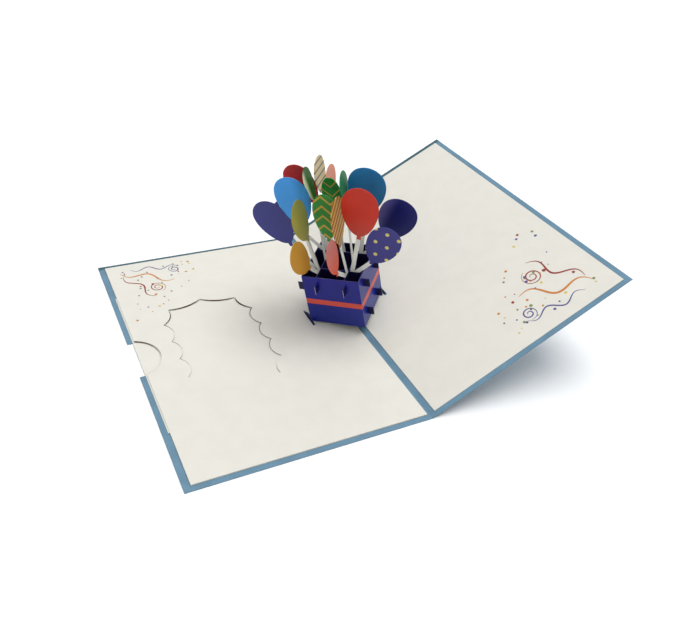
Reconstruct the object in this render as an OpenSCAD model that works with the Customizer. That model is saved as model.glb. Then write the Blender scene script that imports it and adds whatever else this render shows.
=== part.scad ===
// Pop-up greeting card, standing open: a folded cover, white inner sheets, a pull-out note in a
// windowed pocket, and a slotted paper gift box full of balloons over the fold.
// The left leaf lies on the table and the right leaf is raised. The fold runs along Y.

/* [Cover] */
// Width of one leaf, from the fold to its outer edge
leaf_w = 120; // [100:1:160]
// Height of a leaf, along the fold
leaf_h = 180; // [140:1:240]
// Thickness of the cover card
cover_t = 0.5; // [0.3:0.05:1]
// Angle by which the right leaf is raised off the table
raise = 28.3; // [10:0.1:60]
// Inside radius of the fold
fold_r = 0.6; // [0.3:0.1:2]
// Length of the thumb notch in the left edge
notch_l = 27; // [15:1:40]
// Depth of the thumb notch
notch_d = 3.5; // [1:0.1:6]

/* [Inner sheets] */
// Thickness of the white inner sheets
sheet_t = 0.3; // [0.2:0.05:0.6]
// Bare cover along the front of each sheet
front_margin = 2.7; // [1:0.1:8]
// Bare cover along the back of each sheet
back_margin = 3; // [0.5:0.1:8]
// Width of the left sheet
left_sheet_w = 115; // [95:1:150]
// Width of the right sheet
right_sheet_w = 114; // [80:0.5:150]
// Bare cover between the fold and the left sheet
left_gap = 1.6; // [1:0.1:6]
// Bare cover between the fold and the right sheet
right_gap = 3; // [1:0.1:6]

/* [Pocket and note] */
// Thickness of the pull-out note
note_t = 0.25; // [0.15:0.05:0.5]
// Width of the note, from its outer edge into the pocket
note_w = 92; // [75:1:100]
// Height of the note, along the fold
note_h = 110; // [90:1:150]
// How far the note stands out of the pocket
note_reach = 0.7; // [0:0.1:5]
// Play between the note and the pocket, in height
pocket_play = 0.15; // [0.03:0.01:0.6]
// Play between the note and the pocket, along its edges
pocket_side_play = 0.5; // [0.2:0.1:3]
// Radius of the thumb cut in the left sheet
thumb_r = 14; // [8:0.5:18]
// Distance of the thumb cut's centre outside the left sheet
thumb_out = 4.2; // [0:0.1:8]

/* [Window] */
// Distance from the left sheet's outer edge to the middle of the window
window_inset = 42.3; // [40:0.1:60]
// Half the width of the window, to its side cusps
window_half_w = 24.4; // [15:0.1:28]
// Distance between the cusps along a side
scallop_pitch = 14.9; // [10:0.1:16]
// How far each scallop along a side bulges into the window
scallop_rise = 3.2; // [1:0.1:5]
// How far each scallop round an end bulges into the window
end_rise = 2.2; // [1:0.1:5]
// Distance of a corner cusp inside the sides
corner_in = 5.6; // [2:0.1:10]
// Distance of a corner cusp beyond the last side cusp
corner_out = 12.3; // [8:0.1:16]
// Distance of an end cusp beyond the last side cusp
end_out = 16.8; // [12:0.1:22]

/* [Gift box] */
// Outside length of each side of the box
box_side = 31.5; // [24:0.5:40]
// Height of the box's walls
wall_h = 31.5; // [25:0.5:45]
// Thickness of the box's walls
wall_t = 0.35; // [0.2:0.05:0.6]
// Distance of each balloon sheet from the outside of the wall beside it
sheet_inset = 8; // [5:0.1:9]
// Play in slots and where walls meet
slot_play = 0.1; // [0.05:0.01:0.3]
// Height of a locking tab
tab_h = 5; // [3:0.5:7]
// How far a locking tab stands out of the wall
tab_reach = 3.1; // [1:0.1:6]
// Height of the lower tabs above the box's lower edge
lower_tab_z = 3; // [1:0.5:8]
// Distance of the upper tabs below the box's upper edge
upper_tab_drop = 4; // [2:0.5:8]
// Length of the ears at the box's two side corners
ear_l = 2.6; // [1:0.1:6]
// Length of each foot, along the fold
foot_l = 13; // [8:0.5:18]
// Distance of a foot's middle behind the box's middle
foot_back = 2.5; // [0:0.5:6]
// Height of the left foot above the cover
left_foot_h = 3; // [2:0.1:5]
// Height of the right foot above the cover
right_foot_h = 4.5; // [2:0.1:5]
// Width of the slit that each foot goes through
slit_w = 1.5; // [1:0.1:3]

/* [Balloons] */
// Thickness of the balloon sheets
spray_t = 0.35; // [0.2:0.05:0.6]
// Width of a balloon's stick
stick_w = 2.2; // [1:0.1:2.5]
// Depth of the sticks' roots below the box's upper edge
root_drop = 2.5; // [1:0.1:4]
// Bare card between a slot and the root of a stick
root_margin = 0.1; // [0.05:0.05:2]
// Width of the knot under a balloon
knot_w = 2.2; // [1.5:0.1:5]
// Height of the knot under a balloon
knot_h = 2; // [1:0.1:4]
// How much a balloon narrows towards its knot
taper = 0.2; // [0:0.01:0.3]

/* [Hidden] */
$fn = 64;

BALLOON_POINTS = 40;
BEND_STEPS = 8;
upper_tab_z = wall_h - upper_tab_drop - tab_h;
TAB_LEVELS = [lower_tab_z, upper_tab_z];
UPPER_LEVEL = [upper_tab_z];

// The origin is in the middle of the card's footprint, so the fold lies a little to the right of it.
fold_x = leaf_w * (1 - cos(raise)) / 2;
half_raise = raise / 2;
bend_r = fold_r + cover_t;
bend_x = bend_r * tan(half_raise);

sheet_h = leaf_h - front_margin - back_margin;
sheet_y = front_margin - leaf_h / 2;
pocket_d = note_t + pocket_play;
left_top = cover_t + pocket_d + sheet_t;
left_edge = left_gap + left_sheet_w;
note_edge = left_edge + note_reach;
window_x = left_edge - window_inset;

// The box stands along the line that halves the angle between the leaves, on its two side corners.
half_side = box_side / 2;
half_diagonal = box_side / sqrt(2);
base_z = (left_top + half_diagonal * sin(half_raise)) / cos(half_raise);
foot_x = half_diagonal * cos(half_raise) + base_z * sin(half_raise);
inner_half = half_side - wall_t - slot_play;
cell_half = half_side - sheet_inset;
slot_w = spray_t + 2 * slot_play;
root_x = cell_half + slot_w / 2 + stick_w / 2 + root_margin;
root_z = wall_h - root_drop;
EPS = 0.01;

// Room left beside the middle balloon of the front and of the rear sheet
front_middle_rim = 1.2;
rear_middle_rim = 2.5;

// Balloons of each sheet: the crossing sheet that it is set out from (-1 or 1, or 0 for the middle),
// its distance from there, its height above the box's upper edge, its lean, its length and its width
FRONT_BALLOONS = [
    [-1, -20.7, 27.3, -27, 27, 18.7],
    [-1, -7.2, 41.4, -7, 27.5, 18.4],
    [0, 0.6, 33.3, 2, 26, 2 * (cell_half - front_middle_rim)],
    [1, 10.9, 37.2, 9, 28, 18.6],
    [1, 20.2, 18.3, 31, 24, 16.8]
];
REAR_BALLOONS = [
    [-1, -18.7, 19.8, -31, 24, 16.8],
    [-1, -8.9, 41.4, -27, 23.5, 15.7],
    [0, -0.9, 33.3, -2, 26, 2 * (cell_half - rear_middle_rim)],
    [1, 9.9, 39.8, 10, 26, 19.4],
    [1, 23.7, 23.8, 27, 25, 19.2]
];
LEFT_BALLOONS = [
    [-1, -19.2, 20.8, -34, 25, 15],
    [-1, -10.7, 37.3, -15, 25, 15.5],
    [-1, 5.9, 47.8, -17, 23, 9],
    [1, 4.4, 44.6, -4, 21.4, 13.8],
    [1, 15, 32.6, 20, 21, 14.5]
];
RIGHT_BALLOONS = [
    [-1, -15.2, 20.2, -8, 20.3, 13.4],
    [-1, -1.8, 33, 14, 24, 17.9],
    [1, -3.8, 42.2, 5, 20, 10.5],
    [1, 9.7, 29.8, 12, 20, 14],
    [1, 17.2, 17.8, 30, 22, 15]
];

// Frames: the fold on the table, the raised leaf, the line between the leaves, and the box on it
module fold_frame() {
    translate([fold_x, 0, 0]) children();
}

module raised_frame() {
    fold_frame() rotate([0, -raise, 0]) children();
}

module box_frame() {
    fold_frame() rotate([0, -half_raise, 0]) translate([0, 0, base_z]) rotate([0, 0, -45]) children();
}

// A plate drawn flat, stood up along the box's X or Y, its outer face towards the lower coordinate
module along_x(y, t) {
    translate([0, y + t, 0]) rotate([90, 0, 0]) linear_extrude(t) children();
}

module along_y(x, t) {
    translate([x, 0, 0]) rotate([90, 0, 90]) linear_extrude(t) children();
}

// Points of an arc of the bend, between two angles, about the bend's centre above the table
function bend_arc(r, from, to) = [
    for (i = [0 : BEND_STEPS])
        let (a = from + (to - from) * i / BEND_STEPS)
        [r * sin(a) - bend_x, bend_r - r * cos(a)]
];

// Section of the cover across the fold: the leaf on the table, the bend and the raised leaf
module cover_section() {
    outer_edge = [leaf_w * cos(raise), leaf_w * sin(raise)];
    polygon(concat(
        [[-leaf_w, 0]],
        bend_arc(bend_r, 0, raise),
        [outer_edge, outer_edge + cover_t * [-sin(raise), cos(raise)]],
        bend_arc(fold_r, raise, 0),
        [[-leaf_w, cover_t]]
    ));
}

module thumb_notch() {
    translate([-leaf_w - EPS, -notch_l / 2, -EPS]) cube([notch_d + EPS, notch_l, cover_t + 2 * EPS]);
}

module cover() {
    color([0.40, 0.60, 0.72]) fold_frame() difference() {
        rotate([90, 0, 0]) linear_extrude(leaf_h, center = true) cover_section();
        thumb_notch();
    }
}

// Corners of the window between its scallops, anticlockwise from the lower right side
window_half_w_corner = window_half_w - corner_in;
side_steps = [-1.5, -0.5, 0.5, 1.5];
side_end = 1.5 * scallop_pitch;
corner_y = side_end + corner_out;
end_y = side_end + end_out;
CUSPS = concat(
    [for (k = side_steps) [window_half_w, k * scallop_pitch]],
    [[window_half_w_corner, corner_y], [0, end_y], [-window_half_w_corner, corner_y]],
    [for (k = side_steps) [-window_half_w, -k * scallop_pitch]],
    [[-window_half_w_corner, -corner_y], [0, -end_y], [window_half_w_corner, -corner_y]]
);

// Disc through two cusps that bulges into the window by the scallop's rise
module scallop(p, q) {
    rise = p.x == q.x ? scallop_rise : end_rise;
    chord = norm(q - p);
    r = (chord * chord / 4 + rise * rise) / (2 * rise);
    outward = [q.y - p.y, p.x - q.x] / chord;
    translate((p + q) / 2 + outward * (r - rise)) circle(r);
}

module window_outline() {
    difference() {
        polygon(CUSPS);
        for (i = [0 : len(CUSPS) - 1]) scallop(CUSPS[i], CUSPS[(i + 1) % len(CUSPS)]);
    }
}

// Slit around a foot of the box, in the frame of the left leaf
module foot_slit() {
    translate([-foot_x - slit_w / 2, foot_back - foot_l / 2 - slit_w / 2, 0])
        cube([slit_w, foot_l + slit_w, left_top + EPS]);
}

module left_sheet_outline() {
    difference() {
        translate([-left_edge, sheet_y]) square([left_sheet_w, sheet_h]);
        translate([-window_x, 0]) window_outline();
        translate([-left_edge - thumb_out, 0]) circle(thumb_r);
    }
}

// Pocket under the left sheet, open at the outer edge: its glued borders are of double thickness
module pocket() {
    inner = note_edge - note_w - pocket_side_play;
    pocket_h = note_h + 2 * pocket_side_play;
    translate([-left_edge - EPS, -pocket_h / 2, cover_t - EPS])
        cube([left_edge + EPS - inner, pocket_h, pocket_d + EPS]);
}

module left_sheet() {
    color([0.91, 0.90, 0.87]) fold_frame() difference() {
        translate([0, 0, cover_t]) linear_extrude(pocket_d + sheet_t) left_sheet_outline();
        pocket();
        foot_slit();
    }
}

module right_sheet() {
    color([0.91, 0.90, 0.87]) raised_frame() difference() {
        translate([right_gap, sheet_y, cover_t]) cube([right_sheet_w, sheet_h, sheet_t]);
        mirror([1, 0, 0]) foot_slit();
    }
}

module note_card() {
    color([0.95, 0.94, 0.92]) fold_frame()
        translate([-note_edge, -note_h / 2, cover_t]) cube([note_w, note_h, note_t]);
}

// Flat wall of the box between two places along it, with a slot for each tab that goes through it
module wall(from, to, levels) {
    difference() {
        translate([from, 0]) square([to - from, wall_h]);
        for (side = [-1, 1], z = levels)
            translate([side * cell_half - slot_w / 2, z - slot_play]) square([slot_w, tab_h + 2 * slot_play]);
    }
}

module ear(x) {
    translate([x, upper_tab_z]) square([ear_l, tab_h]);
}

// Outline of a foot, drawn flat: a round flap on a straight lower edge
module foot_outline(high) {
    r = (foot_l * foot_l / 4 + high * high) / (2 * high);
    intersection() {
        translate([0, high - r]) circle(r);
        translate([-foot_l / 2, 0]) square([foot_l, high]);
    }
}

// Foot at a side corner of the box, in the frame of the left leaf: it stands on the cover, in its slit
module foot(high) {
    translate([0, foot_back, cover_t]) along_y(-foot_x - wall_t / 2, wall_t) foot_outline(high);
}

// Room for a foot in the lower corner of the strip that it passes
module foot_room(high) {
    translate([-foot_x - wall_t / 2 - slot_play, foot_back - foot_l / 2 - slot_play, 0])
        cube([wall_t + 2 * slot_play, foot_l + 2 * slot_play, cover_t + high + slot_play]);
}

// Front and right walls, folded from one strip
module box_front() {
    color([0.20, 0.19, 0.46]) difference() {
        box_frame() union() {
            along_x(-half_side, wall_t) {
                wall(-half_side, half_side, UPPER_LEVEL);
                ear(-half_side - ear_l);
            }
            along_y(half_side - wall_t, wall_t) {
                wall(-half_side, half_side, TAB_LEVELS);
                ear(half_side);
            }
        }
        fold_frame() foot_room(left_foot_h);
        raised_frame() mirror([1, 0, 0]) foot_room(right_foot_h);
    }
}

// Left and rear walls, folded from one strip, with the feet that hold the box to the leaves
module box_rear() {
    color([0.20, 0.19, 0.46]) union() {
        box_frame() along_y(-half_side, wall_t) wall(-inner_half, half_side, TAB_LEVELS);
        box_frame() along_x(half_side - wall_t, wall_t) wall(-half_side, inner_half, UPPER_LEVEL);
        fold_frame() foot(left_foot_h);
        raised_frame() mirror([1, 0, 0]) foot(right_foot_h);
    }
}

// Outline of a balloon about its middle: an ellipse that narrows towards the knot at its foot
module balloon(long, wide) {
    polygon([
        for (i = [0 : BALLOON_POINTS - 1])
            let (a = 360 * i / BALLOON_POINTS)
            [wide / 2 * sin(a) * (1 - taper * cos(a)), -long / 2 * cos(a)]
    ]);
    translate([0, -long / 2]) polygon([[0, knot_h], [-knot_w / 2, -knot_h], [knot_w / 2, -knot_h]]);
}

// Straight stick between two points
module stick(from, to) {
    d = to - from;
    translate(from) rotate(atan2(d.y, d.x)) translate([0, -stick_w / 2]) square([norm(d), stick_w]);
}

// Sheet of balloons, drawn flat: a panel with tabs, and balloons on sticks that fan out of it
module spray(balloons, levels, slot_from, slot_to) {
    middle = (len(balloons) - 1) / 2;
    difference() {
        union() {
            translate([-inner_half, 0]) square([2 * inner_half, wall_h]);
            for (z = levels)
                translate([-half_side - tab_reach, z]) square([box_side + 2 * tab_reach, tab_h]);
            for (i = [0 : len(balloons) - 1]) {
                b = balloons[i];
                lean = b[3];
                long = b[4];
                place = [b[0] * cell_half + b[1], wall_h + b[2]];
                root = [root_x * sign(i - middle), root_z];
                stick(root, place - long / 2 * [sin(lean), cos(lean)]);
                translate(place) rotate(-lean) balloon(long, b[5]);
            }
        }
        for (side = [-1, 1])
            translate([side * cell_half - slot_w / 2, slot_from]) square([slot_w, slot_to - slot_from]);
    }
}

// The front and rear sheets are slotted from above, the left and right sheets from below.
half_lap = wall_h / 2;

module lengthways_spray(place, balloons) {
    box_frame() along_x(place - spray_t / 2, spray_t)
        spray(balloons, TAB_LEVELS, half_lap - slot_play, wall_h + slot_play);
}

module crossways_spray(place, balloons) {
    box_frame() along_y(place - spray_t / 2, spray_t)
        spray(balloons, UPPER_LEVEL, -slot_play, half_lap);
}

module front_balloons() {
    color([0.80, 0.22, 0.16]) lengthways_spray(-cell_half, FRONT_BALLOONS);
}

module rear_balloons() {
    color([0.10, 0.36, 0.52]) lengthways_spray(cell_half, REAR_BALLOONS);
}

module left_balloons() {
    color([0.75, 0.56, 0.16]) crossways_spray(-cell_half, LEFT_BALLOONS);
}

module right_balloons() {
    color([0.87, 0.45, 0.40]) crossways_spray(cell_half, RIGHT_BALLOONS);
}

cover();
left_sheet();
right_sheet();
note_card();
box_front();
box_rear();
front_balloons();
rear_balloons();
left_balloons();
right_balloons();
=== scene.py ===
import math
import random

import bmesh
import bpy
from mathutils import Matrix, Vector


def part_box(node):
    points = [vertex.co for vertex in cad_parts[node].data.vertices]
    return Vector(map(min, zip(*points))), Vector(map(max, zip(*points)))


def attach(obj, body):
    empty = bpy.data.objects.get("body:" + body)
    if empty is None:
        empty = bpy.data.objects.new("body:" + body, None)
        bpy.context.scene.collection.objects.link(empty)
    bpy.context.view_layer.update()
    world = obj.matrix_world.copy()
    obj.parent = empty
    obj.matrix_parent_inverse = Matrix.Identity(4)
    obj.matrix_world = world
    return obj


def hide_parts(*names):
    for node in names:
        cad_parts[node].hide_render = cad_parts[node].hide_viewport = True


# Looks of the open pop-up card: paper materials, printed balloons on slotted sheets, and corner prints

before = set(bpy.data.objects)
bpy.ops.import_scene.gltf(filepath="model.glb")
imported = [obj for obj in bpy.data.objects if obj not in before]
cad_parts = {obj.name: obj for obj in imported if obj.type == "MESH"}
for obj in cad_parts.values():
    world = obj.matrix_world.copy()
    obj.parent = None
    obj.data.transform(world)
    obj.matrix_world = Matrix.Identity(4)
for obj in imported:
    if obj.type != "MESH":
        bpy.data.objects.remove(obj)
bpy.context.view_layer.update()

MM = 0.001
BODY = "root"

# Card, in millimetres
LEAF_W = 120
RAISE = math.radians(28.3)
COVER_T = 0.5
SHEET_T = 0.3
NOTE_T = 0.25
POCKET_PLAY = 0.15
LEFT_TOP = COVER_T + NOTE_T + POCKET_PLAY + SHEET_T
RIGHT_TOP = COVER_T + SHEET_T
FOLD_X = LEAF_W * (1 - math.cos(RAISE)) / 2

# Gift box and slotted sheets, in millimetres, apart from the balloons' taper, which is a share
BOX_SIDE = 31.5
WALL_H = 31.5
WALL_T = 0.35
SLOT_PLAY = 0.1
SHEET_INSET = 8
SPRAY_T = 0.35
TAB_H = 5
TAB_REACH = 3.1
LOWER_TAB_Z = 3
UPPER_TAB_DROP = 4
STICK_W = 2.2
ROOT_DROP = 2.5
ROOT_MARGIN = 0.1
KNOT_W = 2.2
KNOT_H = 2
TAPER = 0.2
FRONT_MIDDLE_RIM = 1.2
REAR_MIDDLE_RIM = 2.5
RIBBON_LOW = 13
RIBBON_HIGH = 16.4

BOX_TURN = math.radians(-45)
HALF_SIDE = BOX_SIDE / 2
HALF_DIAGONAL = BOX_SIDE / math.sqrt(2)
BASE_Z = (LEFT_TOP + HALF_DIAGONAL * math.sin(RAISE / 2)) / math.cos(RAISE / 2)
INNER_HALF = HALF_SIDE - WALL_T - SLOT_PLAY
CELL_HALF = HALF_SIDE - SHEET_INSET
SLOT_W = SPRAY_T + 2 * SLOT_PLAY
ROOT_X = CELL_HALF + SLOT_W / 2 + STICK_W / 2 + ROOT_MARGIN
ROOT_Z = WALL_H - ROOT_DROP
UPPER_TAB_Z = WALL_H - UPPER_TAB_DROP - TAB_H
HALF_LAP = WALL_H / 2

# Frames: the fold on the table, the two leaves, and the gift box between them
FOLD = Matrix.Translation((FOLD_X, 0, 0))
LEFT_LEAF = FOLD @ Matrix.Diagonal((-1, 1, 1, 1))
RIGHT_LEAF = FOLD @ Matrix.Rotation(-RAISE, 4, "Y")
BOX = (
    FOLD
    @ Matrix.Rotation(-RAISE / 2, 4, "Y")
    @ Matrix.Translation((0, 0, BASE_Z))
    @ Matrix.Rotation(BOX_TURN, 4, "Z")
)


def rgb(red, green, blue):
    """A colour given as it is seen (sRGB, 0 to 255), as the linear colour that a shader takes."""
    seen = [c / 255 for c in (red, green, blue)]
    linear = [c / 12.92 if c <= 0.04045 else ((c + 0.055) / 1.055) ** 2.4 for c in seen]
    return (*linear, 1)


class Nodes:
    """A material's node tree, with short calls for the nodes that the paper finishes share."""

    def __init__(self, name):
        self.material = bpy.data.materials.new(name)
        self.material.use_nodes = True
        self.tree = self.material.node_tree
        self.shader = self.tree.nodes["Principled BSDF"]

    def link(self, value, socket):
        if isinstance(value, bpy.types.NodeSocket):
            self.tree.links.new(value, socket)
        else:
            socket.default_value = value

    def add(self, kind, **settings):
        node = self.tree.nodes.new(kind)
        for key, value in settings.items():
            setattr(node, key, value)
        return node

    def math(self, operation, *values):
        node = self.add("ShaderNodeMath", operation=operation)
        for value, socket in zip(values, node.inputs):
            self.link(value, socket)
        return node.outputs[0]

    def dot(self, vector, axis):
        node = self.add("ShaderNodeVectorMath", operation="DOT_PRODUCT")
        self.link(vector, node.inputs[0])
        self.link(tuple(axis), node.inputs[1])
        return node.outputs["Value"]

    def mix(self, factor, first, second, blend="MIX"):
        node = self.add("ShaderNodeMix", data_type="RGBA", blend_type=blend)
        self.link(factor, node.inputs["Factor"])
        self.link(first, node.inputs["A"])
        self.link(second, node.inputs["B"])
        return node.outputs["Result"]

    def ramp(self, value, low, high, to_low=0, to_high=1):
        node = self.add("ShaderNodeMapRange", interpolation_type="SMOOTHSTEP")
        self.link(value, node.inputs["Value"])
        limits = {"From Min": low, "From Max": high, "To Min": to_low, "To Max": to_high}
        for socket, number in limits.items():
            node.inputs[socket].default_value = number
        return node.outputs["Result"]

    def place(self):
        return self.add("ShaderNodeTexCoord").outputs["Object"]

    def normal(self):
        return self.add("ShaderNodeNewGeometry").outputs["Normal"]

    def uv(self):
        split = self.add("ShaderNodeSeparateXYZ")
        self.tree.links.new(self.add("ShaderNodeTexCoord").outputs["UV"], split.inputs[0])
        return split.outputs["X"], split.outputs["Y"]

    def noise(self, size_mm, detail=3):
        node = self.add("ShaderNodeTexNoise")
        self.tree.links.new(self.place(), node.inputs["Vector"])
        node.inputs["Scale"].default_value = 1 / (size_mm * MM)
        node.inputs["Detail"].default_value = detail
        return node.outputs["Fac"]


# Paper grain: sizes in millimetres of the cloudy mottle, the fibres and the fine tooth, the tooth's
# height, the detail of the finer noises, and the stretches of a noise that go from the darkest paper
# to the lightest
MOTTLE_MM = 9
FIBRE_MM = 0.9
TOOTH_MM = 0.25
TOOTH_H = 0.05
FIBRE_DETAIL = 5
TOOTH_DETAIL = 4
CLOUD_STRETCH = (0.3, 0.7)
FIBRE_STRETCH = (0.35, 0.65)


def finish_paper(nodes, colour, roughness, mottle=0.06, tooth=0.12, specular=0.3, swing=0.06):
    """Gives a sheet its colour with mottle and fibres, its tooth, and a roughness that swings a little."""
    cloud = nodes.ramp(nodes.noise(MOTTLE_MM), *CLOUD_STRETCH, 1 - mottle, 1)
    fibre = nodes.ramp(nodes.noise(FIBRE_MM, FIBRE_DETAIL), *FIBRE_STRETCH, 1 - mottle / 2, 1)
    shade = nodes.math("MULTIPLY", cloud, fibre)
    grey = nodes.add("ShaderNodeCombineColor")
    for socket in grey.inputs:
        nodes.link(shade, socket)
    nodes.link(nodes.mix(1, colour, grey.outputs[0], "MULTIPLY"), nodes.shader.inputs["Base Color"])
    nodes.link(
        nodes.ramp(nodes.noise(FIBRE_MM), *CLOUD_STRETCH, roughness - swing, roughness + swing),
        nodes.shader.inputs["Roughness"],
    )
    nodes.shader.inputs["Specular IOR Level"].default_value = specular
    bump = nodes.add("ShaderNodeBump")
    bump.inputs["Strength"].default_value = tooth
    bump.inputs["Distance"].default_value = TOOTH_H * MM
    nodes.link(nodes.noise(TOOTH_MM, TOOTH_DETAIL), bump.inputs["Height"])
    nodes.link(bump.outputs[0], nodes.shader.inputs["Normal"])
    return nodes.material


def plain_paper(name, colour, roughness, **grain):
    return finish_paper(Nodes(name), colour, roughness, **grain)


# The cuts inside the left sheet are browned by the cutter, and the rest of it is white. The browned
# cuts lie this far in from the sheet's outer edge and from its edge by the fold, and at most this far
# from its middle, in millimetres. A face is a cut when its normal is less upright than the last value.
WHITE = rgb(220, 218, 209)
SCORCH = rgb(74, 62, 46)
SCORCH_FROM_EDGE = 0.3
SCORCH_FROM_FOLD = 30
SCORCH_HALF_L = 45
CUT_UPRIGHT = 0.5


def scorched_paper(name):
    nodes = Nodes(name)
    low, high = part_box("left_sheet")
    upright = nodes.math("ABSOLUTE", nodes.dot(nodes.normal(), (0, 0, 1)))
    across = nodes.dot(nodes.place(), (1, 0, 0))
    along = nodes.dot(nodes.place(), (0, 1, 0))
    inside = nodes.math("GREATER_THAN", across, low.x + SCORCH_FROM_EDGE * MM)
    short = nodes.math("LESS_THAN", across, high.x - SCORCH_FROM_FOLD * MM)
    side = nodes.math("LESS_THAN", nodes.math("ABSOLUTE", along), SCORCH_HALF_L * MM)
    cut = nodes.math("LESS_THAN", upright, CUT_UPRIGHT)
    for limit in (inside, short, side):
        cut = nodes.math("MULTIPLY", cut, limit)
    return finish_paper(nodes, nodes.mix(cut, WHITE, SCORCH), roughness=0.82, mottle=0.03)


# Blue cover, painted darker and greyer towards its back edge as shade, between two distances from it in
# millimetres
BLUE = rgb(105, 141, 164)
SHADED_BACK_BLUE = rgb(66, 98, 110)
BACK_SHADE_FROM = 4
BACK_SHADE_TO = 2


def blue_paper(name):
    nodes = Nodes(name)
    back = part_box("cover")[1].y
    along = nodes.dot(nodes.place(), (0, 1, 0))
    # Painted shade along the back edge of the cover
    back_shade = nodes.ramp(along, back - BACK_SHADE_FROM * MM, back - BACK_SHADE_TO * MM)
    return finish_paper(nodes, nodes.mix(back_shade, BLUE, SHADED_BACK_BLUE), roughness=0.7, mottle=0.12)


# Gift box: indigo outside with a printed ribbon, nearly black inside, pale along its cut edges. A face
# is an upper or lower edge when its normal is nearer to the box's upright than the last value.
INDIGO = rgb(16, 19, 134)
INDIGO_LOW = rgb(12, 33, 132)
NAVY_INSIDE = rgb(21, 19, 66)
RIBBON_RED = rgb(218, 78, 64)
CUT_EDGE = rgb(158, 152, 196)
UPPER_EDGE = rgb(66, 63, 122)
EDGE_UPRIGHT = 0.8


def beyond_corner(nodes, direction):
    """Whether a point lies past the box's side along one of the box's own directions."""
    axis = BOX.to_3x3() @ Vector(direction)
    middle = (BOX @ Vector((0, 0, 0)) * MM).dot(axis)
    limit = middle + (HALF_SIDE + SLOT_PLAY) * MM
    return nodes.math("GREATER_THAN", nodes.dot(nodes.place(), axis), limit)


def box_print(name):
    nodes = Nodes(name)
    up = BOX.to_3x3() @ Vector((0, 0, 1))
    foot = BOX @ Vector((0, 0, 0)) * MM
    height = nodes.math("SUBTRACT", nodes.dot(nodes.place(), up), foot.dot(up))
    centre = nodes.add("ShaderNodeVectorMath", operation="SUBTRACT")
    nodes.link(nodes.place(), centre.inputs[0])
    nodes.link(tuple(foot + up * WALL_H * MM / 2), centre.inputs[1])
    facing = nodes.add("ShaderNodeVectorMath", operation="DOT_PRODUCT")
    nodes.link(centre.outputs[0], facing.inputs[0])
    nodes.link(nodes.normal(), facing.inputs[1])
    outside = nodes.math("GREATER_THAN", facing.outputs["Value"], 0)
    above = nodes.math("GREATER_THAN", height, RIBBON_LOW * MM)
    below = nodes.math("LESS_THAN", height, RIBBON_HIGH * MM)
    ribbon = nodes.math("MULTIPLY", above, below)
    field = nodes.mix(nodes.ramp(height, 0, WALL_H * MM), INDIGO_LOW, INDIGO)
    faces = nodes.mix(outside, NAVY_INSIDE, nodes.mix(ribbon, field, RIBBON_RED))
    ear = nodes.math("MAXIMUM", beyond_corner(nodes, (-1, 0, 0)), beyond_corner(nodes, (0, 1, 0)))
    faces = nodes.mix(ear, faces, NAVY_INSIDE)
    upright = nodes.math("ABSOLUTE", nodes.dot(nodes.normal(), up))
    edge = nodes.math("GREATER_THAN", upright, EDGE_UPRIGHT)
    colour = nodes.mix(edge, faces, UPPER_EDGE)
    return finish_paper(nodes, colour, roughness=0.3, mottle=0.1, tooth=0.004, specular=0.36, swing=0.01)


def edge_paper(name):
    """Cut edges of the slotted sheets: those that face up take more of the print's colour."""
    nodes = Nodes(name)
    up = BOX.to_3x3() @ Vector((0, 0, 1))
    upper = nodes.math("GREATER_THAN", nodes.dot(nodes.normal(), up), EDGE_UPRIGHT)
    return finish_paper(nodes, nodes.mix(upper, CUT_EDGE, UPPER_EDGE), roughness=0.85, mottle=0.05)


# Prints of the balloons; on some of them the tone under the print is painted shade, sheen or highlight, as
# noted where they are made. A pattern gives whether its ink shows at a point of the balloon, from the
# distances across and along it in millimetres.
def tone_and_painted_light(nodes, first, second, half, stretch, lengthways):
    """Colour that runs across or along the balloon, over a stretch in shares of half its size. On the sky
    balloon it is painted shade, on the red and leaf balloons a painted sheen, and on the coral balloon a
    painted highlight.
    """
    across, along = nodes.uv()
    place = along if lengthways else across
    return nodes.mix(nodes.ramp(place, half * stretch[0], half * stretch[1]), first, second)


def chevrons(nodes, pitch, rise, step, line, peak):
    """Zigzag lines across the balloon: their pitch across it, their rise, their step along it, their
    thickness and the place of a peak."""
    across, along = nodes.uv()
    fold = nodes.math("PINGPONG", nodes.math("SUBTRACT", across, peak), pitch / 2)
    lifted = nodes.math("ADD", along, nodes.math("MULTIPLY", fold, 2 * rise / pitch))
    phase = nodes.math("FLOORED_MODULO", lifted, step)
    return nodes.math("LESS_THAN", phase, line)


def stripes(nodes, angle, pitch, line):
    """Straight stripes at an angle from the balloon's length."""
    across, along = nodes.uv()
    slant = nodes.math(
        "ADD",
        nodes.math("MULTIPLY", across, math.cos(angle)),
        nodes.math("MULTIPLY", along, math.sin(angle)),
    )
    return nodes.math("LESS_THAN", nodes.math("FLOORED_MODULO", slant, pitch), line)


def dots(nodes, pitch, row_h, radius, shift):
    """Dots in rows, each row set half a pitch aside, and all shifted across and along the balloon."""
    across, along = nodes.uv()
    across = nodes.math("SUBTRACT", across, shift[0])
    along = nodes.math("SUBTRACT", along, shift[1] - row_h / 2)
    row = nodes.math("FLOOR", nodes.math("DIVIDE", along, row_h))
    aside = nodes.math("ADD", across, nodes.math("MULTIPLY", row, pitch / 2))
    x = nodes.math("SUBTRACT", nodes.math("FLOORED_MODULO", aside, pitch), pitch / 2)
    y = nodes.math("SUBTRACT", nodes.math("FLOORED_MODULO", along, row_h), row_h / 2)
    square = nodes.math("ADD", nodes.math("MULTIPLY", x, x), nodes.math("MULTIPLY", y, y))
    return nodes.math("LESS_THAN", square, radius * radius)


def balloon_print_and_painted_light(name, tones, half, stretch, lengthways, pattern, ink):
    nodes = Nodes(name)
    colour = tone_and_painted_light(nodes, *tones, half, stretch, lengthways)
    if pattern:
        colour = nodes.mix(pattern(nodes), colour, ink)
    return finish_paper(nodes, colour, roughness=0.45, mottle=0.08, tooth=0.08, specular=0.4)


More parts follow.
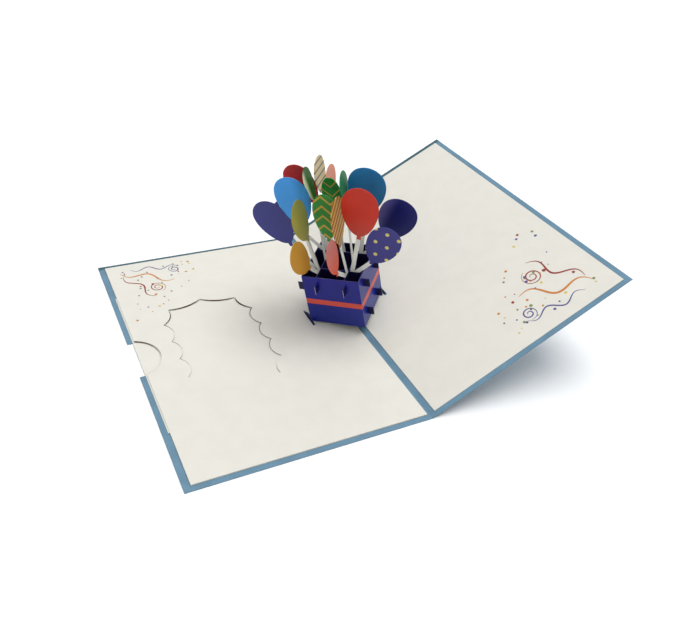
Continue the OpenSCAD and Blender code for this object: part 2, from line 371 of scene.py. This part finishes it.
def sheet_object(name, build, materials):
    """A new piece on the card's body, whose mesh the function builds."""
    mesh = bpy.data.meshes.new(name)
    shape = bmesh.new()
    build(shape)
    bmesh.ops.recalc_face_normals(shape, faces=shape.faces)
    shape.to_mesh(mesh)
    shape.free()
    for material in materials:
        mesh.materials.append(material)
    piece = bpy.data.objects.new(name, mesh)
    bpy.context.scene.collection.objects.link(piece)
    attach(piece, BODY)
    return piece


def add_plate(shape, outline, thickness, put, face_slot=0, edge_slot=1, rings=(), centre=None, strip=False):
    """A closed flat piece: its outline in millimetres, pulled in ring by ring to its centre where rings
    are given. put(u, v, w) gives the place of a point of the sheet, w running through its thickness. A
    strip's outline goes along one side and back along the other, and its faces join the two."""
    layer = shape.loops.layers.uv.verify()
    loops = [outline]
    for k in rings:
        x, y = centre
        loops.append([(x + (u - x) * k, y + (v - y) * k) for u, v in outline])
    count = len(outline)
    flat = {}

    def vertex(u, v, w):
        point = shape.verts.new(put(u, v, w) * MM)
        flat[point] = (u, v)
        return point

    def face(corners, slot):
        made = shape.faces.new(corners)
        made.material_index = slot
        for loop in made.loops:
            loop[layer].uv = flat[loop.vert]

    sides = []
    for w in (-thickness / 2, thickness / 2):
        grid = [[vertex(u, v, w) for u, v in loop] for loop in loops]
        for outer, inner in zip(grid, grid[1:]):
            for i in range(count):
                j = (i + 1) % count
                face((outer[i], outer[j], inner[j], inner[i]), face_slot)
        if rings:
            middle = vertex(*centre, w)
            for i in range(count):
                face((grid[-1][i], grid[-1][(i + 1) % count], middle), face_slot)
        elif strip:
            for i in range(count // 2 - 1):
                face((grid[0][i], grid[0][i + 1], grid[0][-i - 2], grid[0][-i - 1]), face_slot)
        else:
            face(grid[0], face_slot)
        sides.append(grid[0])
    for i in range(count):
        j = (i + 1) % count
        face((sides[0][i], sides[0][j], sides[1][j], sides[1][i]), edge_slot)


# Balloons: the points of an outline, the angle from its foot at which the knot starts, in degrees, the
# rings of a face as shares of its outline, and the bend of its top in millimetres
BALLOON_POINTS = 72
KNOT_ANGLE = 8
BALLOON_RINGS = (0.8, 0.6, 0.4, 0.2)
CURL = 0.3

PURPLE = rgb(55, 53, 131)
YELLOW_DOT = rgb(214, 204, 112)
GOLD = rgb(211, 171, 71)
STICK_WHITE = rgb(220, 222, 216)


def egg_outline(length, width):
    """Outline of a balloon about its middle, with the knot at its foot."""
    points = []
    for i in range(BALLOON_POINTS + 1):
        a = math.radians(KNOT_ANGLE + (360 - 2 * KNOT_ANGLE) * i / BALLOON_POINTS)
        across = width / 2 * math.sin(a) * (1 - TAPER * math.cos(a))
        points.append((across, -length / 2 * math.cos(a)))
    foot = -length / 2 - KNOT_H
    return points + [(-KNOT_W / 2, foot), (KNOT_W / 2, foot)]


def turned(point, place, lean):
    """A point of a balloon, leaned and set in its place on the sheet."""
    u, v = point
    return (
        place[0] + u * math.cos(lean) + v * math.sin(lean),
        place[1] - u * math.sin(lean) + v * math.cos(lean),
    )


def panel_outline(levels, slotted_from_above):
    """Lower part of a slotted sheet, with its tabs and its two slots."""
    reach = HALF_SIDE + TAB_REACH
    half_slot = SLOT_W / 2
    right = [(INNER_HALF, 0)]
    for z in levels:
        right += [(INNER_HALF, z), (reach, z), (reach, z + TAB_H), (INNER_HALF, z + TAB_H)]
    right.append((INNER_HALF, WALL_H))
    left = [(-u, v) for u, v in reversed(right)]
    edge = WALL_H if slotted_from_above else 0
    end = HALF_LAP - SLOT_PLAY if slotted_from_above else HALF_LAP
    notches = []
    for c in (CELL_HALF, -CELL_HALF):
        near, far = c + half_slot, c - half_slot
        notches += [(near, edge), (near, end), (far, end), (far, edge)]
    if slotted_from_above:
        return right + notches + left
    return right + left + notches[::-1]


# How far a stick's end goes into the panel, and its thickness as a share of the panel's
STICK_SINK = 0.3
STICK_SHARE = 0.9


def stick_outline(place, length, lean, side):
    """A stick from the upper edge of the panel to the knot of its balloon."""
    root = Vector((ROOT_X * side, ROOT_Z))
    knot = Vector(turned((0, -length / 2), place, lean))
    run = (knot - root).normalized()
    across = Vector((-run.y, run.x)) * STICK_W / 2
    top = knot - run * KNOT_H / 2
    corners = []
    for sign in (1, -1):
        start = root + across * sign
        corners.append(start + run * ((WALL_H - STICK_SINK - start.y) / run.y))
    ends = [top - across, top + across]
    return [tuple(p) for p in (corners[0], corners[1], *ends)]


def build_spray(name, lengthways, place, levels, balloons):
    """The pieces of one slotted sheet: its panel, its sticks and its balloons."""

    def put(u, v, w):
        local = (u, place + w, v) if lengthways else (place + w, u, v)
        return BOX @ Vector(local)

    panel = sheet_object(
        f"{name}_panel",
        lambda shape: add_plate(shape, panel_outline(levels, lengthways), SPRAY_T, put),
        [NAVY_CARD, EDGE_CARD],
    )
    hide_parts(f"{name}_balloons")
    middle = (len(balloons) - 1) / 2
    for i, (label, side, offset, height, lean_deg, length, width, look) in enumerate(balloons):
        at = (side * CELL_HALF + offset, WALL_H + height)
        lean = math.radians(lean_deg)
        fan = (i > middle) - (i < middle)
        stick_shape = stick_outline(at, length, lean, fan)
        stick = sheet_object(
            f"{name}_stick_{label}",
            lambda shape: add_plate(shape, stick_shape, SPRAY_T * STICK_SHARE, put),
            [STICK_CARD, STICK_CARD],
        )
        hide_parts(f"{name}_balloons")

        def leaned(u, v, w):
            s, t = turned((u, v), at, lean)
            bend = CURL * ((v + length / 2) / length) ** 2 * math.copysign(1, offset)
            return put(s, t, w + bend)

        balloon = sheet_object(
            f"{name}_balloon_{label}",
            lambda shape: add_plate(
                shape, egg_outline(length, width), SPRAY_T, leaned, 0, 0, BALLOON_RINGS, (0, 0)
            ),
            [look(f"{name}_{label}_print", length, width)],
        )
        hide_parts(f"{name}_balloons")


def print_and_painted_light(first, second, pattern=None, ink=None, stretch=(-1, 1), lengthways=False):
    """A print, with the painted light that the tones of some balloons carry, that is made once the size of
    its balloon is known.
    """

    def make(name, length, width):
        half = (length if lengthways else width) / 2
        return balloon_print_and_painted_light(name, (first, second), half, stretch, lengthways, pattern, ink)

    return make


# Flat lines on the sheets, which are ink and the browned rims of cuts, the rims partly painted shade: their
# thickness in millimetres, the least shares of the full width that they keep, and how fast a fading one
# narrows
INK_T = 0.03
SWELL_LEAST = 0.25
FADE_LEAST = 0.04
FADE_RATE = 1.5


def swelling(t):
    """Share of a line's full width along it: thin at both ends."""
    return SWELL_LEAST + (1 - SWELL_LEAST) * math.sin(math.pi * t)


def fading(t):
    """Share of a line's full width along it: broad at its start, thin at its end."""
    return max(FADE_LEAST, 1 - FADE_RATE * t)


def growing(t):
    """Share of a line's full width along it: thin at its start, broad at its end."""
    return fading(1 - t)


def add_ribbon(shape, path, width, put, slot, share=swelling):
    """A closed flat line along a path."""
    upper, lower = [], []
    last = len(path) - 1
    for i, point in enumerate(path):
        ahead = Vector(path[min(i + 1, last)]) - Vector(path[max(i - 1, 0)])
        aside = Vector((-ahead.y, ahead.x)).normalized() * width / 2 * share(i / last)
        upper.append(tuple(Vector(point) + aside))
        lower.append(tuple(Vector(point) - aside))
    add_plate(shape, upper + lower[::-1], INK_T, put, slot, slot, strip=True)


# Window and thumb cut of the left sheet, in millimetres from the fold and along it, and their browned
# rims, which are broadest along the far end of the window and fade towards its near end. The rims are
# partly the cutter's browning and partly painted shade: their breadth at the far end and along the side by
# the fold, and their fading towards the near end, paint the shade of the cut walls and of the gap under the
# sheet.
LEFT_GAP = 1.6
LEFT_SHEET_W = 115
WINDOW_INSET = 42.3
LEFT_EDGE = LEFT_GAP + LEFT_SHEET_W
WINDOW_X = LEFT_EDGE - WINDOW_INSET
WINDOW_HALF_W = 24.4
SCALLOP_PITCH = 14.9
SIDE_STEPS = (-1.5, -0.5, 0.5, 1.5)
SIDE_END = SIDE_STEPS[-1] * SCALLOP_PITCH
SCALLOP_RISE = 3.2
END_RISE = 2.2
CORNER_IN = 5.6
CORNER_OUT = 12.3
END_OUT = 16.8
THUMB_R = 14
THUMB_OUT = 4.2
RIM_W = 0.7
OUTER_RIM_SHARE = 0.45
INNER_RIM_SHARE = 0.7
FAR_SHADE_SHARE = 0.4
ARC_STEPS = 16


def window_cusps():
    """Cusps of the window, along the side by the fold, round the far end and back along the outer side."""
    corner = WINDOW_HALF_W - CORNER_IN
    return (
        [(WINDOW_HALF_W, k * SCALLOP_PITCH) for k in SIDE_STEPS]
        + [(corner, SIDE_END + CORNER_OUT), (0, SIDE_END + END_OUT), (-corner, SIDE_END + CORNER_OUT)]
        + [(-WINDOW_HALF_W, k * SCALLOP_PITCH) for k in SIDE_STEPS[::-1]]
    )


def scallop_arc(start, end, inset):
    """Points of the scallop between two cusps, a little inside the paper."""
    p, q = Vector(start), Vector(end)
    rise = SCALLOP_RISE if p.x == q.x else END_RISE
    chord = (q - p).length
    radius = (chord * chord / 4 + rise ** 2) / (2 * rise)
    outward = Vector((q.y - p.y, p.x - q.x)) / chord
    centre = (p + q) / 2 + outward * (radius - rise)
    half = math.asin(chord / 2 / radius)
    turn = math.atan2(-outward.y, -outward.x)
    arc = []
    for i in range(ARC_STEPS + 1):
        a = turn + half * (2 * i / ARC_STEPS - 1)
        arc.append(tuple(centre + Vector((math.cos(a), math.sin(a))) * (radius - inset)))
    return arc


def rim_width(start, end):
    """Width of the browned rim of one scallop, broader at the far end and along the side by the fold as
    painted shade.
    """
    far = (start[1] + end[1]) / 2 / (SIDE_END + END_OUT)
    outer_side = min(start[0], end[0]) <= -WINDOW_HALF_W
    share = OUTER_RIM_SHARE if outer_side else INNER_RIM_SHARE
    return RIM_W * (share + FAR_SHADE_SHARE * far)


# Browned rims of the window and thumb cut: partly the cutter's browning, partly painted shade
def browned_and_shaded_rims():
    def put(u, v, w):
        return LEFT_LEAF @ Vector((u, v, LEFT_TOP + INK_T / 2 + w))

    def build(shape):
        cusps = window_cusps()
        for start, end in zip(cusps, cusps[1:]):
            width = rim_width(start, end)
            arc = [(WINDOW_X - x, y) for x, y in scallop_arc(start, end, width / 2)]
            side = start[0] == end[0]
            share = (fading if end[0] > 0 else growing) if side else swelling
            add_ribbon(shape, arc, width, put, 0, share)
        rim_r = THUMB_R + RIM_W / 2
        reach = math.acos(THUMB_OUT / rim_r)
        sweep = 2 * reach
        thumb = []
        for i in range(2 * ARC_STEPS + 1):
            a = reach - sweep * i / (2 * ARC_STEPS)
            thumb.append((LEFT_EDGE + THUMB_OUT - rim_r * math.cos(a), rim_r * math.sin(a)))
        add_ribbon(shape, thumb, RIM_W, put, 0, fading)

    browned_and_shaded = plain_paper("browned_and_shaded_paper", SCORCH, roughness=0.85)
    return sheet_object("browned_and_shaded_rims", build, [browned_and_shaded])


# Corner prints: streamers and confetti of flat colour on the white sheets, in millimetres from a corner.
# A streamer has the point it sets out from, its heading in degrees, its length, its swing and its turns,
# and a coil has its middle, its radius and its turns. Both end with a share of the full width and the
# number of an ink.
LEFT_PRINT_CORNER = (116, 87)
LEFT_PRINT_SCALE = 1.05
RIGHT_PRINT_CORNER = (115, -87)
RIGHT_PRINT_SCALE = 1.25
STREAMER_W = 0.9
STREAMERS = (
    ((6, 8), 28, 30, 2.6, 1.5, 1.2, 0),
    ((7, 12), 62, 26, 2.2, 1.5, 1, 1),
    ((12, 6), 8, 26, 1.8, 2, 0.8, 2),
)
COILS = (
    ((22, 27), 4.5, 2.2, 0.7, 1),
    ((35, 12), 3.4, 1.8, 0.7, 2),
)
COIL_START = 0.15
CONFETTI_SEED = 11
CONFETTI_COUNT = 46
CONFETTI_SPREAD = (5, 46)
CONFETTI_DIAGONAL = 66
CONFETTI_R = (0.35, 0.85)
CONFETTI_CORNERS = (3, 4, 4, 12)
CONFETTI_T = 0.04


def wave(start, heading, length, swing, turns, steps=48):
    """A wavy streamer that sets out from a point."""
    ahead = Vector((math.cos(heading), math.sin(heading)))
    aside = Vector((-ahead.y, ahead.x))
    points = []
    for i in range(steps + 1):
        t = i / steps
        off = swing * math.sin(2 * math.pi * turns * t)
        points.append(tuple(Vector(start) + ahead * length * t + aside * off))
    return points


def spiral(centre, radius, turns, steps=60):
    """A coiled streamer."""
    points = []
    for i in range(steps + 1):
        t = i / steps
        a = 2 * math.pi * turns * t
        r = radius * (COIL_START + (1 - COIL_START) * t)
        points.append((centre[0] + r * math.cos(a), centre[1] + r * math.sin(a)))
    return points


def polygon(centre, radius, corners, turn):
    return [
        (
            centre[0] + radius * math.cos(turn + 2 * math.pi * k / corners),
            centre[1] + radius * math.sin(turn + 2 * math.pi * k / corners),
        )
        for k in range(corners)
    ]


def corner_print(name, leaf, height, corner, inward, scale, slots, seed):
    """Streamers that fan out of a corner of a leaf, with confetti around them."""
    draw = random.Random(seed)

    def put(u, v, w):
        x = corner[0] + inward[0] * u * scale
        y = corner[1] + inward[1] * v * scale
        return leaf @ Vector((x, y, height + INK_T / 2 + w))

    def build(shape):
        for start, heading, length, swing, turns, share, ink in STREAMERS:
            path = wave(start, math.radians(heading), length, swing, turns)
            add_ribbon(shape, path, STREAMER_W * share, put, ink)
        for centre, radius, turns, share, ink in COILS:
            add_ribbon(shape, spiral(centre, radius, turns), STREAMER_W * share, put, ink)
        for _ in range(CONFETTI_COUNT):
            along = draw.uniform(*CONFETTI_SPREAD)
            spot = (along, draw.uniform(CONFETTI_SPREAD[0], CONFETTI_DIAGONAL - along))
            radius = draw.uniform(*CONFETTI_R)
            corners = draw.choice(CONFETTI_CORNERS)
            outline = polygon(spot, radius, corners, draw.uniform(0, math.pi))
            slot = draw.randrange(len(slots))
            add_plate(shape, outline, CONFETTI_T, put, slot, slot)

    return sheet_object(name, build, slots)


# Camera, as solved from the card's corners, in millimetres; its near limit is in metres
CAMERA_AT = Vector((-157.76, -282.62, 233.9))
CAMERA_AZIMUTH = math.radians(29.86)
CAMERA_DROP = math.radians(35.16)
CAMERA_ROLL = math.radians(-6.12)
SENSOR_MM = 36
LENS_MM = 37.09
CLIP_START = 0.01


def add_camera():
    data = bpy.data.cameras.new("camera")
    data.sensor_width = SENSOR_MM
    data.lens = LENS_MM
    data.clip_start = CLIP_START
    camera = bpy.data.objects.new("camera", data)
    bpy.context.scene.collection.objects.link(camera)
    aim = (
        Matrix.Rotation(-CAMERA_AZIMUTH, 4, "Z")
        @ Matrix.Rotation(math.pi / 2 - CAMERA_DROP, 4, "X")
        @ Matrix.Rotation(-CAMERA_ROLL, 4, "Z")
    )
    camera.matrix_world = Matrix.Translation(CAMERA_AT * MM) @ aim
    bpy.context.scene.camera = camera


def add_area(name, place_mm, target_mm, size_mm, power):
    data = bpy.data.lights.new(name, "AREA")
    data.shape = "DISK"
    data.size = size_mm * MM
    data.energy = power
    light = bpy.data.objects.new(name, data)
    bpy.context.scene.collection.objects.link(light)
    light.location = Vector(place_mm) * MM
    light.rotation_euler = (Vector(target_mm) - Vector(place_mm)).to_track_quat("-Z", "Y").to_euler()


# Studio: the floor's side in metres, and the lamps' places, targets and sizes in millimetres and their
# powers in watts
FLOOR_SIZE = 6
FLOOR_WHITE = rgb(250, 250, 250)
WORLD_WHITE = (1, 1, 1, 1)
WORLD_STRENGTH = 0.46
LAMPS = (
    ("key", (340, -160, 1930), (0, 0, 20), 1500, 29),
    ("fill", (-1000, -1430, 1290), (0, 0, 40), 1400, 3),
    ("back", (700, 1400, 1200), (700, 1400, 0), 1600, 8),
)


def add_floor():
    shape = bmesh.new()
    bmesh.ops.create_grid(shape, x_segments=1, y_segments=1, size=FLOOR_SIZE / 2)
    mesh = bpy.data.meshes.new("floor")
    shape.to_mesh(mesh)
    shape.free()
    mesh.materials.append(plain_paper("floor_white", FLOOR_WHITE, roughness=0.9, mottle=0.01, tooth=0))
    floor = bpy.data.objects.new("floor", mesh)
    bpy.context.scene.collection.objects.link(floor)


def add_light():
    world = bpy.data.worlds.new("studio")
    bpy.context.scene.world = world
    world.use_nodes = True
    background = world.node_tree.nodes["Background"]
    background.inputs["Color"].default_value = WORLD_WHITE
    background.inputs["Strength"].default_value = WORLD_STRENGTH
    for lamp in LAMPS:
        add_area(*lamp)
    bpy.context.scene.view_settings.view_transform = "Standard"


def dress(node, *materials):
    """Gives a node of the card its materials."""
    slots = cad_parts[node].data.materials
    slots.clear()
    for material in materials:
        slots.append(material)


add_camera()
add_light()
add_floor()

BLUE_CARD = blue_paper("blue_card")
WHITE_CARD = plain_paper("white_card", WHITE, roughness=0.82, mottle=0.03)
NOTE_PAPER = plain_paper("note_paper", WHITE, roughness=0.85, mottle=0.02)
SCORCHED_CARD = scorched_paper("scorched_white_card")
BOX_CARD = box_print("box_print")
NAVY_CARD = plain_paper("navy_print", NAVY_INSIDE, roughness=0.5, mottle=0.15)
STICK_CARD = plain_paper("stick_white", STICK_WHITE, roughness=0.7, mottle=0.04)
EDGE_CARD = edge_paper("cut_edge")

dress("cover", BLUE_CARD)
dress("left_sheet", SCORCHED_CARD)
dress("right_sheet", WHITE_CARD)
dress("note_card", NOTE_PAPER)
dress("box_front", BOX_CARD)
dress("box_rear", BOX_CARD)

FRONT_MIDDLE_W = 2 * (CELL_HALF - FRONT_MIDDLE_RIM)
REAR_MIDDLE_W = 2 * (CELL_HALF - REAR_MIDDLE_RIM)
TABS = (LOWER_TAB_Z, UPPER_TAB_Z)
UPPER_TAB = (UPPER_TAB_Z,)

dotted = print_and_painted_light(
    PURPLE,
    PURPLE,
    lambda n: dots(n, pitch=6.4, row_h=7.2, radius=1, shift=(-0.8, 0.8)),
    YELLOW_DOT,
)
front_chevrons = print_and_painted_light(
    rgb(57, 151, 64),
    rgb(51, 137, 54),
    lambda n: chevrons(n, pitch=9.4, rise=4.2, step=5.6, line=1.2, peak=-1.5),
    GOLD,
)
rear_chevrons = print_and_painted_light(
    rgb(29, 160, 58),
    rgb(23, 141, 48),
    lambda n: chevrons(n, pitch=9, rise=4.2, step=5.6, line=0.9, peak=-4.5),
    GOLD,
)
slanted = print_and_painted_light(
    rgb(229, 210, 163),
    rgb(213, 195, 146),
    lambda n: stripes(n, angle=math.radians(84), pitch=4, line=1),
    rgb(126, 110, 118),
)
candy = print_and_painted_light(
    rgb(208, 180, 92),
    rgb(196, 166, 78),
    lambda n: stripes(n, angle=math.radians(-52), pitch=3.1, line=1.9),
    rgb(156, 90, 24),
)
# Red balloon: its lighter, paler lower part is a painted sheen
red = print_and_painted_light(rgb(196, 66, 50), rgb(200, 38, 10), stretch=(-1, 0), lengthways=True)
# Coral balloon: its orange-red lower part is a painted highlight
coral = print_and_painted_light(rgb(214, 80, 50), rgb(192, 110, 102), lengthways=True)

# Each balloon: its name, the crossing sheet that it is set out from, its distance from there, its height
# above the box's upper edge, its lean in degrees, its length and its width, and then its print, whose tone
# is painted light on some balloons
build_spray("front", True, -CELL_HALF, TABS, [
    ("purple", -1, -20.7, 27.3, -27, 27, 18.7, print_and_painted_light(rgb(52, 56, 136), rgb(49, 52, 129))),
    # Sky balloon: its darker right half is painted shade
    ("sky", -1, -7.2, 41.4, -7, 27.5, 18.4, print_and_painted_light(rgb(58, 157, 238), rgb(0, 113, 167), stretch=(0, 1))),
    ("chevron", 0, 0.6, 33.3, 2, 26, FRONT_MIDDLE_W, front_chevrons),
    ("red", 1, 10.9, 37.2, 9, 28, 18.6, red),
    ("dotted", 1, 20.2, 18.3, 31, 24, 16.8, dotted),
])
build_spray("rear", True, CELL_HALF, TABS, [
    ("dotted", -1, -18.7, 19.8, -31, 24, 16.8, dotted),
    ("crimson", -1, -8.9, 41.4, -27, 23.5, 15.7, print_and_painted_light(rgb(216, 37, 25), rgb(184, 34, 23))),
    ("chevron", 0, -0.9, 33.3, -2, 26, REAR_MIDDLE_W, rear_chevrons),
    ("teal", 1, 9.9, 39.8, 10, 26, 19.4, print_and_painted_light(rgb(26, 134, 200), rgb(33, 125, 178))),
    ("navy", 1, 23.7, 23.8, 27, 25, 19.2, print_and_painted_light(rgb(90, 91, 161), rgb(0, 10, 99), stretch=(-1, -0.2))),
])
build_spray("left", False, -CELL_HALF, UPPER_TAB, [
    ("ochre", -1, -19.2, 20.8, -34, 25, 15, print_and_painted_light(rgb(200, 145, 50), rgb(194, 142, 29))),
    ("olive", -1, -10.7, 37.3, -15, 25, 15.5, print_and_painted_light(rgb(158, 150, 65), rgb(125, 131, 67))),
    # Leaf balloon: its pale left side is a painted sheen
    ("leaf", -1, 5.9, 47.8, -17, 23, 9, print_and_painted_light(rgb(216, 224, 182), rgb(22, 88, 8), stretch=(-0.9, -0.1))),
    ("slanted", 1, 4.4, 44.6, -4, 21.4, 13.8, slanted),
    ("pink", 1, 15, 32.6, 20, 21, 14.5, print_and_painted_light(rgb(240, 166, 141), rgb(237, 146, 122))),
])
build_spray("right", False, CELL_HALF, UPPER_TAB, [
    ("coral", -1, -15.2, 20.2, -8, 20.3, 13.4, coral),
    ("striped", -1, -1.8, 33, 14, 24, 17.9, candy),
    ("green", 1, -3.8, 42.2, 5, 20, 10.5, print_and_painted_light(rgb(53, 138, 86), rgb(46, 116, 80))),
    ("amber", 1, 9.7, 29.8, 12, 20, 14, print_and_painted_light(rgb(218, 158, 53), rgb(198, 144, 32))),
    ("violet", 1, 17.2, 17.8, 30, 22, 15, print_and_painted_light(PURPLE, rgb(51, 49, 124))),
])

INKS = [
    plain_paper(f"ink_{name}", colour, roughness=0.75)
    for name, colour in (
        ("orange", rgb(196, 128, 68)),
        ("red", rgb(146, 64, 56)),
        ("indigo", rgb(92, 88, 142)),
        ("green", rgb(128, 140, 84)),
        ("yellow", rgb(206, 190, 96)),
        ("grey", rgb(112, 108, 116)),
    )
]
browned_and_shaded_rims()
corner_print(
    "left_corner_print",
    LEFT_LEAF,
    LEFT_TOP,
    LEFT_PRINT_CORNER,
    inward=(-1, -1),
    scale=LEFT_PRINT_SCALE,
    slots=INKS,
    seed=CONFETTI_SEED,
)
corner_print(
    "right_corner_print",
    RIGHT_LEAF,
    RIGHT_TOP,
    RIGHT_PRINT_CORNER,
    inward=(-1, 1),
    scale=RIGHT_PRINT_SCALE,
    slots=INKS,
    seed=CONFETTI_SEED + 1,
)
